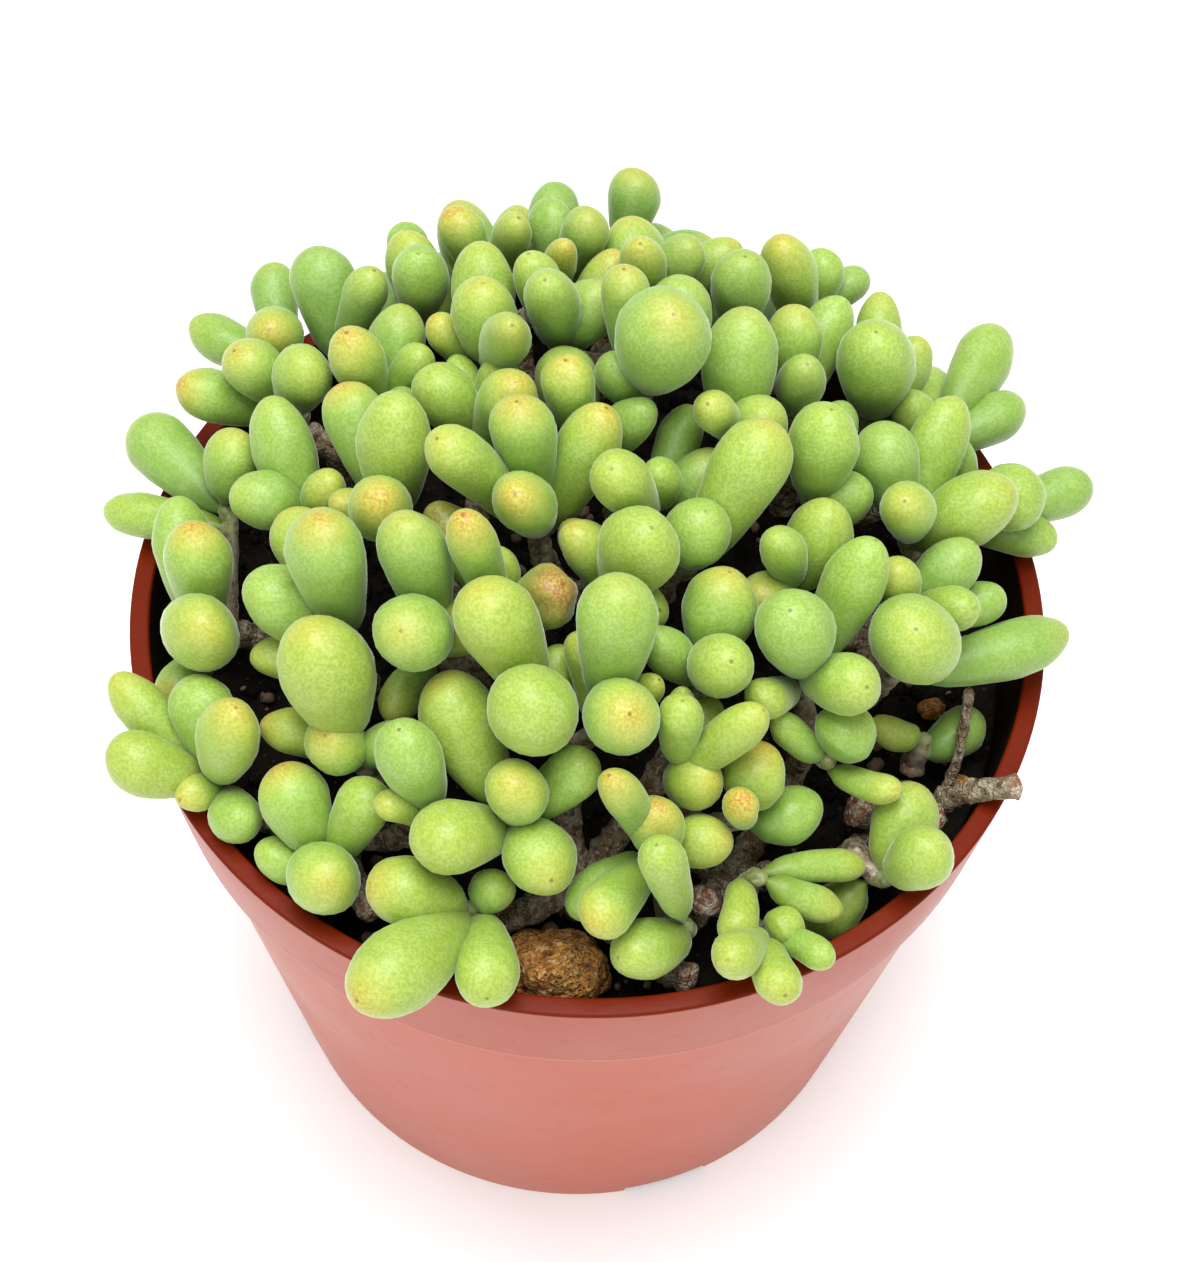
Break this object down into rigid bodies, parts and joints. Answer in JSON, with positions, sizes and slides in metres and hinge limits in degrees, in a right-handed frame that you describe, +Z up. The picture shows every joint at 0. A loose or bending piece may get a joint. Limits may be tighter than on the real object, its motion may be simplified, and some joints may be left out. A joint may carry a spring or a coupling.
{
  "type": "potted succulent",
  "caption": "Clump-forming succulent with egg-shaped green leaves, overgrowing a round terracotta-coloured plastic nursery pot filled with dark soil.",
  "frame": {"origin": "middle of the pot's base, on the surface it stands on", "axes": "+Z is up along the pot's axis; -Y is the side where the brown stone lies inside the rim, and it faced the camera; +X is to the right as seen from there"},
  "size_m": [0.153, 0.1459, 0.1643],
  "materials": {
    "pot": "satin terracotta-red moulded plastic",
    "soil": "moist dark potting mix",
    "stone": "rough porous brown pumice",
    "wood": "grey-brown bark with leaf scars",
    "leaf": "fleshy leaf skin with a thin waxy bloom"
  },
  "bodies": {
    "root": {"pot": "pot", "soil": "soil", "pumice_stone": "stone", "pebble_1": "stone", "pebble_2": "stone", "pebble_3": "stone", "pebble_4": "stone", "pebble_5": "stone", "stem_back_left": "wood", "shoot_back_left_1": "leaf", "shoot_back_left_2": "leaf", "shoot_back_left_3": "leaf", "stem_left": "wood", "shoot_left_1": "leaf", "shoot_left_2": "leaf", "shoot_left_3": "leaf", "stem_front_left": "wood", "shoot_front_left_1": "leaf", "shoot_front_left_2": "leaf", "shoot_front_left_3": "leaf", "stem_crown_left": "wood", "shoot_crown_left_1": "leaf", "shoot_crown_left_2": "leaf", "shoot_crown_left_3": "leaf", "stem_back": "wood", "shoot_back_1": "leaf", "shoot_back_2": "leaf", "shoot_back_3": "leaf", "stem_crown": "wood", "shoot_crown_1": "leaf", "shoot_crown_2": "leaf", "shoot_crown_3": "leaf", "shoot_crown_4": "leaf", "stem_back_right": "wood", "shoot_back_right_1": "leaf", "shoot_back_right_2": "leaf", "shoot_back_right_3": "leaf", "stem_right": "wood", "shoot_right_1": "leaf", "shoot_right_2": "leaf", "shoot_right_3": "leaf", "stem_front": "wood", "shoot_front_1": "leaf", "shoot_front_2": "leaf", "shoot_front_3": "leaf", "shoot_front_4": "leaf", "stem_front_right": "wood", "shoot_front_right_1": "leaf", "shoot_front_right_2": "leaf", "shoot_front_right_3": "leaf", "shoot_front_right_4": "leaf", "stem_side_right": "wood", "shoot_side_right_1": "leaf", "shoot_side_right_2": "leaf"}
  },
  "joints": []
}
